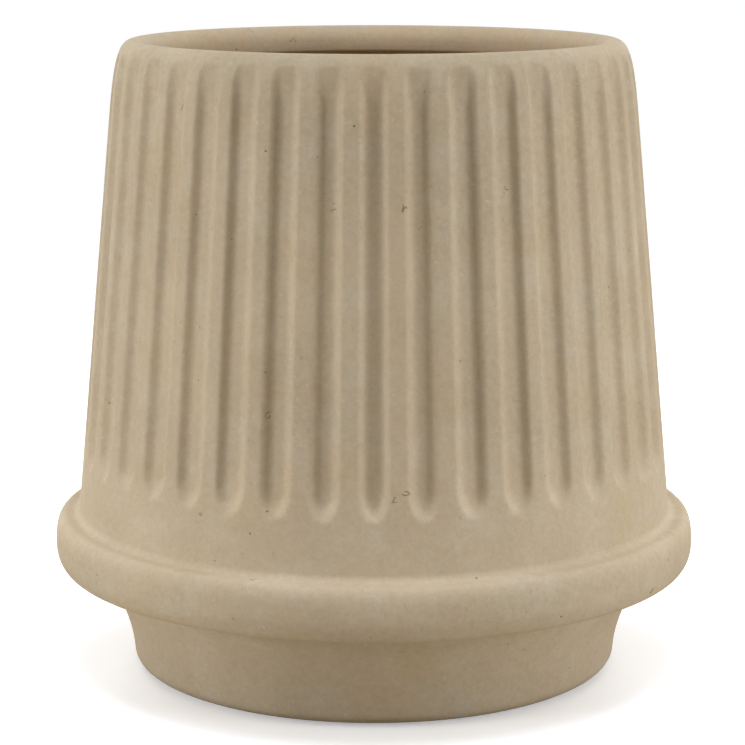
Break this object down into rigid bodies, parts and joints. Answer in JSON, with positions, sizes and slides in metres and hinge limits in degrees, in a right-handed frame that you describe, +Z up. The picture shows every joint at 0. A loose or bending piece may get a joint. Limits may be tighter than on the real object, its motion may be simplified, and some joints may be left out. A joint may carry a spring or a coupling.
{
  "type": "fluted plant pot",
  "caption": "Round plant pot with a tapered fluted wall, rolled rim, collar and waisted foot, a drain hole with a lift-out rubber plug, and pads under the foot.",
  "frame": {"origin": "on the pot's axis, on the surface that the pads stand on", "axes": "+Z up along the pot's axis; -Y is the side that the picture shows, and the middle of a flute faces it"},
  "size_m": [0.2398, 0.2398, 0.2338],
  "materials": {
    "stoneware": "matte, unglazed, lightly mottled with fine dark specks",
    "plug_rubber": "satin",
    "pad_rubber": "matte"
  },
  "bodies": {
    "pot": {"pot_shell": "stoneware", "foot_pad_1": "pad_rubber", "foot_pad_2": "pad_rubber", "foot_pad_3": "pad_rubber", "foot_pad_4": "pad_rubber"},
    "plug": {"drain_plug": "plug_rubber"}
  },
  "joints": [
    {"name": "plug_lift", "type": "slide", "parent": "pot", "child": "plug", "axis": [0, 0, 1], "range_m": [0, 0.25]}
  ]
}
